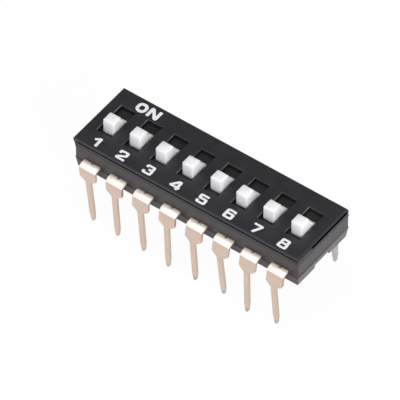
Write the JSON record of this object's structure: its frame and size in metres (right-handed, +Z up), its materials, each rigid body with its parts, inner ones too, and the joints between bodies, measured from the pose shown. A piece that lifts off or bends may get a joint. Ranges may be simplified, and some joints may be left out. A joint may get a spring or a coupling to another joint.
{
  "type": "dip switch",
  "caption": "Slide DIP switch with raised white knobs in slots along a black cover, each pole switched by its own slider, on two rows of through-hole legs.",
  "frame": {"origin": "midway between the two rows of legs and between poles 4 and 5, on the plane that the leg tips stand on", "axes": "+X runs from pole 1 to pole 8, +Y points to the ON side and +Z points up through the cover"},
  "size_m": [0.0213, 0.0084, 0.0087],
  "materials": {
    "cover": "fine moulded charcoal-black plastic with a low sheen and white printing",
    "housing": "satin black moulded plastic",
    "base": "satin dark grey moulded plastic",
    "knob": "satin white moulded plastic with softened edges",
    "carrier": "matt black plastic",
    "contact": "thin spring brass",
    "terminal": "satin tin-plated metal with a warm cast and copper-coloured cut edges"
  },
  "bodies": {
    "body": {"top_cover": "cover", "housing": "housing", "base": "base", "terminal_front_1": "terminal", "terminal_front_2": "terminal", "terminal_front_3": "terminal", "terminal_front_4": "terminal", "terminal_front_5": "terminal", "terminal_front_6": "terminal", "terminal_front_7": "terminal", "terminal_front_8": "terminal", "terminal_rear_1": "terminal", "terminal_rear_2": "terminal", "terminal_rear_3": "terminal", "terminal_rear_4": "terminal", "terminal_rear_5": "terminal", "terminal_rear_6": "terminal", "terminal_rear_7": "terminal", "terminal_rear_8": "terminal"},
    "slider_1": {"knob_1": "knob", "carrier_1": "carrier", "contact_1": "contact"},
    "slider_2": {"knob_2": "knob", "carrier_2": "carrier", "contact_2": "contact"},
    "slider_3": {"knob_3": "knob", "carrier_3": "carrier", "contact_3": "contact"},
    "slider_4": {"knob_4": "knob", "carrier_4": "carrier", "contact_4": "contact"},
    "slider_5": {"knob_5": "knob", "carrier_5": "carrier", "contact_5": "contact"},
    "slider_6": {"knob_6": "knob", "carrier_6": "carrier", "contact_6": "contact"},
    "slider_7": {"knob_7": "knob", "carrier_7": "carrier", "contact_7": "contact"},
    "slider_8": {"knob_8": "knob", "carrier_8": "carrier", "contact_8": "contact"}
  },
  "joints": [
    {"name": "slider_1_slide", "type": "slide", "parent": "body", "child": "slider_1", "axis": [0, 1, 0], "range_m": [0, 0.00068]},
    {"name": "slider_2_slide", "type": "slide", "parent": "body", "child": "slider_2", "axis": [0, 1, 0], "range_m": [0, 0.00068]},
    {"name": "slider_3_slide", "type": "slide", "parent": "body", "child": "slider_3", "axis": [0, 1, 0], "range_m": [0, 0.00068]},
    {"name": "slider_4_slide", "type": "slide", "parent": "body", "child": "slider_4", "axis": [0, 1, 0], "range_m": [0, 0.00068]},
    {"name": "slider_5_slide", "type": "slide", "parent": "body", "child": "slider_5", "axis": [0, 1, 0], "range_m": [0, 0.00068]},
    {"name": "slider_6_slide", "type": "slide", "parent": "body", "child": "slider_6", "axis": [0, 1, 0], "range_m": [0, 0.00068]},
    {"name": "slider_7_slide", "type": "slide", "parent": "body", "child": "slider_7", "axis": [0, 1, 0], "range_m": [0, 0.00068]},
    {"name": "slider_8_slide", "type": "slide", "parent": "body", "child": "slider_8", "axis": [0, 1, 0], "range_m": [0, 0.00068]}
  ]
}
